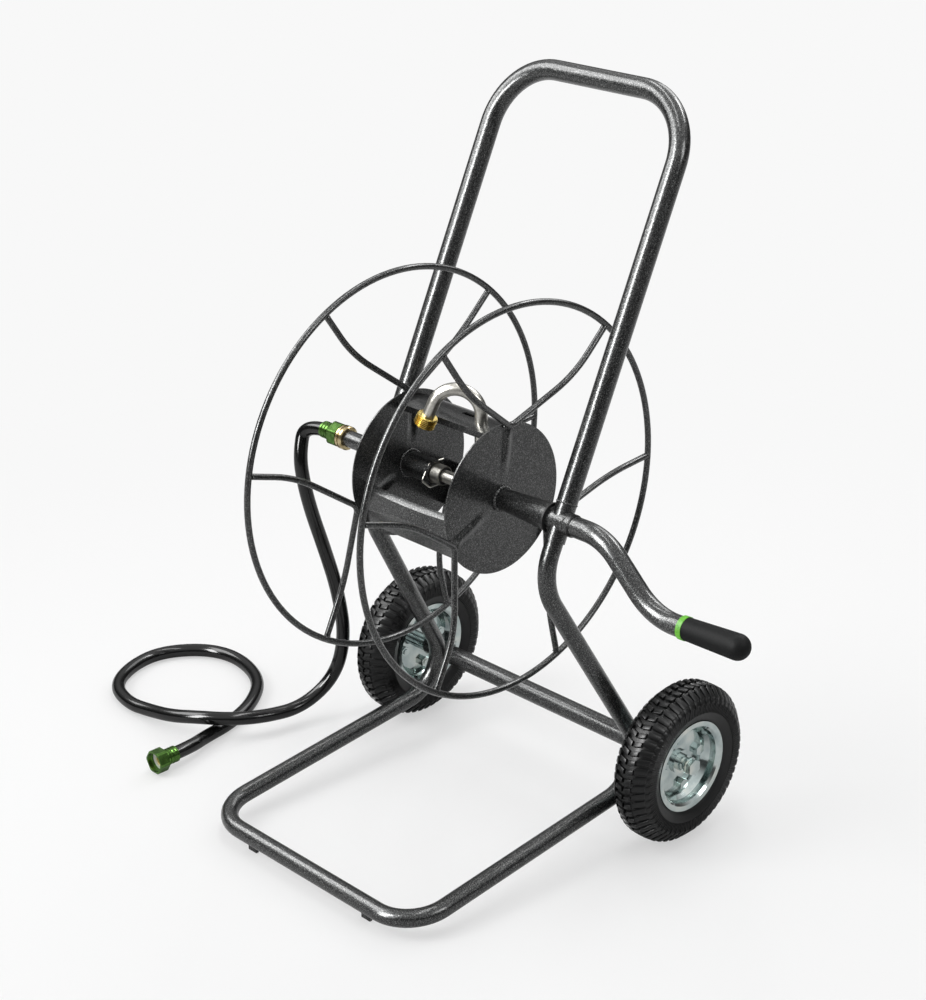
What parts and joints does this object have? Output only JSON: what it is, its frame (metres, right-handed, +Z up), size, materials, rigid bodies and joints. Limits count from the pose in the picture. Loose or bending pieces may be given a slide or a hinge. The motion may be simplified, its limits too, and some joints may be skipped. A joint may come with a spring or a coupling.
{
  "type": "garden hose reel cart",
  "caption": "Two-wheeled tubular steel hose reel cart with a crank-turned wire reel, gooseneck outlet, bent push handle and a short leader hose.",
  "frame": {"origin": "on the ground, under the middle of the cart's bounding box without the free leader hose", "axes": "+Z up, +X along the reel axle towards the crank, +Y towards the handle and wheels"},
  "size_m": [1.0511, 0.538, 0.9206],
  "materials": {
    "hammertone_coat": "silver-flecked hammertone powder coat",
    "zinc_plate": "zinc plate",
    "black_plastic": "matte",
    "tyre": "matte",
    "inner_rubber": "matte",
    "brass": "machined",
    "green_anodised": "anodised green",
    "satin_steel": "satin",
    "seal_rubber": "matte",
    "white_washer": "matte",
    "black_vinyl": "satin",
    "green_ring": "gloss",
    "hose": "satin"
  },
  "bodies": {
    "frame": {"axle_bolts": "zinc_plate", "axle_plugs": "zinc_plate", "axle_tube": "hammertone_coat", "axle_washers": "zinc_plate", "base_frame_tube": "hammertone_coat", "bearing_bracket_left": "hammertone_coat", "bearing_bracket_right": "hammertone_coat", "bush_left_inner": "black_plastic", "bush_left_outer": "black_plastic", "bush_right_inner": "black_plastic", "bush_right_outer": "black_plastic", "end_ferrule": "green_anodised", "end_stem": "brass", "end_washer": "white_washer", "front_feet": "hammertone_coat", "handle_tube": "hammertone_coat", "inlet_adapter": "brass", "inlet_ferrule": "green_anodised", "inlet_nut": "green_anodised", "inlet_pipe": "hammertone_coat", "inlet_stem": "brass", "inlet_washer": "white_washer", "leader_hose": "hose"},
    "left_wheel": {"left_inner_tube": "inner_rubber", "left_rim_bolts": "zinc_plate", "left_rim_inner": "zinc_plate", "left_rim_nuts": "zinc_plate", "left_rim_outer": "zinc_plate", "left_tyre": "tyre", "left_wheel_hub": "zinc_plate"},
    "right_wheel": {"right_inner_tube": "inner_rubber", "right_rim_bolts": "zinc_plate", "right_rim_inner": "zinc_plate", "right_rim_nuts": "zinc_plate", "right_rim_outer": "zinc_plate", "right_tyre": "tyre", "right_wheel_hub": "zinc_plate"},
    "reel": {"left_ring": "hammertone_coat", "right_ring": "hammertone_coat", "left_spokes": "hammertone_coat", "right_spokes": "hammertone_coat", "left_disc": "hammertone_coat", "right_disc": "hammertone_coat", "drum_plate_top": "hammertone_coat", "drum_plate_front": "hammertone_coat", "drum_plate_rear": "hammertone_coat", "right_hub_tube": "hammertone_coat", "left_hub_tube": "hammertone_coat", "hub_liner": "black_plastic", "swivel_ring": "satin_steel", "swivel_seal": "seal_rubber", "swivel_o_ring": "seal_rubber", "retaining_clip": "satin_steel", "gooseneck_pipe": "satin_steel", "outlet_thread": "brass", "crank_tube": "hammertone_coat", "crank_grip": "black_vinyl", "grip_ring": "green_ring"},
    "hose_end_nut": {"end_nut": "green_anodised"}
  },
  "joints": [
    {"name": "reel_spin", "type": "hinge", "parent": "frame", "child": "reel", "pos_m": [-0.0839, 0.02005, 0.443], "axis": [1, 0, 0], "continuous": true},
    {"name": "left_wheel_spin", "type": "hinge", "parent": "frame", "child": "left_wheel", "pos_m": [-0.3189, 0.15205, 0.1047], "axis": [1, 0, 0], "continuous": true},
    {"name": "right_wheel_spin", "type": "hinge", "parent": "frame", "child": "right_wheel", "pos_m": [0.1511, 0.15205, 0.1047], "axis": [1, 0, 0], "continuous": true},
    {"name": "hose_end_nut_spin", "type": "hinge", "parent": "frame", "child": "hose_end_nut", "pos_m": [-0.4269, -0.22145, 0.0176], "axis": [0, -1, 0], "continuous": true}
  ]
}
